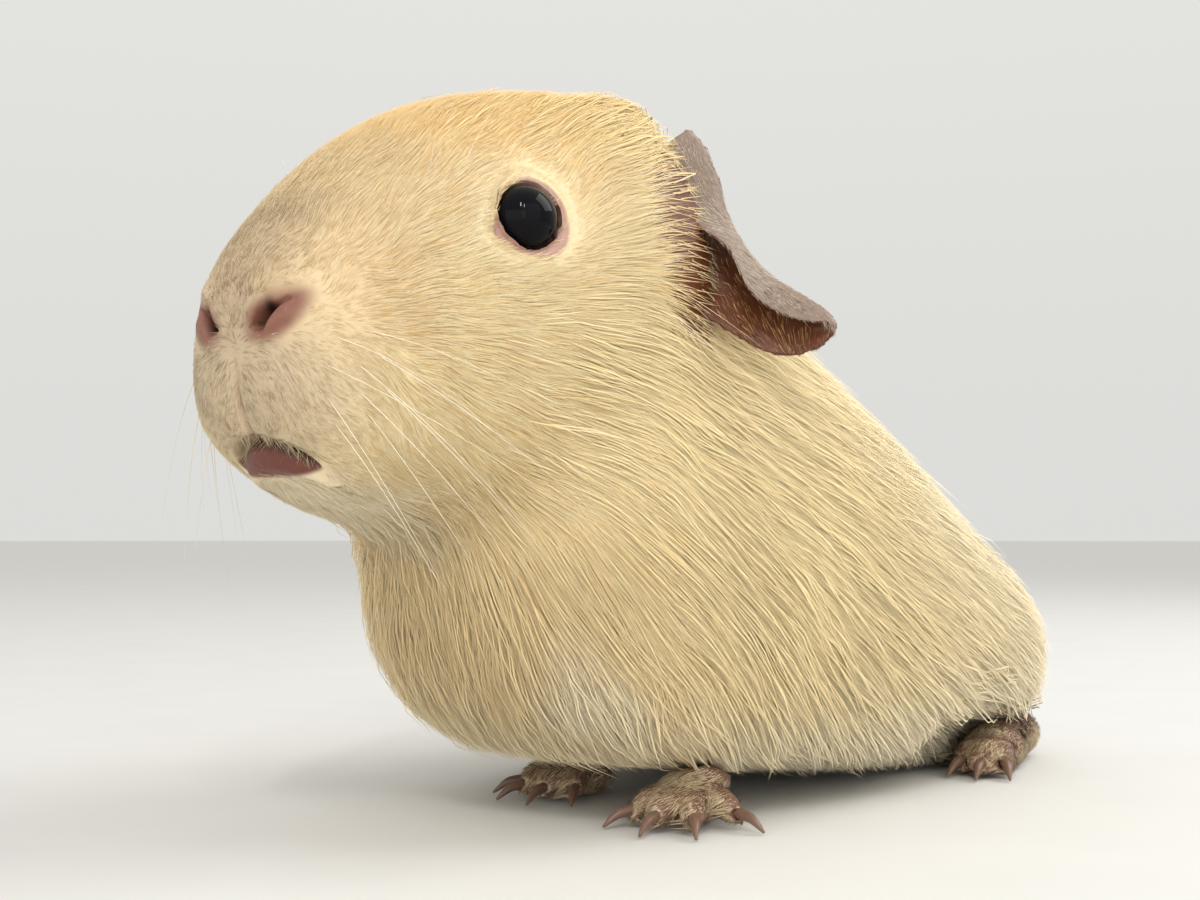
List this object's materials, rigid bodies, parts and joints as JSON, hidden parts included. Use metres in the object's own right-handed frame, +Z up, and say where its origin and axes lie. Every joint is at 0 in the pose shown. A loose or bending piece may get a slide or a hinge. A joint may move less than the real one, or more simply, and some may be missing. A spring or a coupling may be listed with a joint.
{
  "type": "guinea pig",
  "caption": "Life-size still model of a short-haired cream guinea pig sitting with its head raised, with drooping brown ears and dark feet",
  "frame": {"origin": "middle of the floor under the whole model box", "axes": "+X the animal's left, -Y the way it faces, +Z up; floor at z = 0"},
  "size_m": [0.0978, 0.179, 0.1123],
  "materials": {
    "coat": "matte",
    "ear_skin": "satin",
    "foot_coat": "matte",
    "claw": "satin",
    "eye": "gloss"
  },
  "bodies": {
    "root": {"head": "coat", "lower_jaw": "coat", "neck": "coat", "trunk": "coat", "foreleg_left": "coat", "hindleg_left": "coat", "ear_left": "ear_skin", "eye_left": "eye", "forefoot_left": "foot_coat", "hindfoot_left": "foot_coat", "foreclaw_left_1": "claw", "foreclaw_left_2": "claw", "foreclaw_left_3": "claw", "foreclaw_left_4": "claw", "hindclaw_left_1": "claw", "hindclaw_left_2": "claw", "hindclaw_left_3": "claw", "foreleg_right": "coat", "hindleg_right": "coat", "ear_right": "ear_skin", "eye_right": "eye", "forefoot_right": "foot_coat", "hindfoot_right": "foot_coat", "foreclaw_right_1": "claw", "foreclaw_right_2": "claw", "foreclaw_right_3": "claw", "foreclaw_right_4": "claw", "hindclaw_right_1": "claw", "hindclaw_right_2": "claw", "hindclaw_right_3": "claw"}
  },
  "joints": []
}
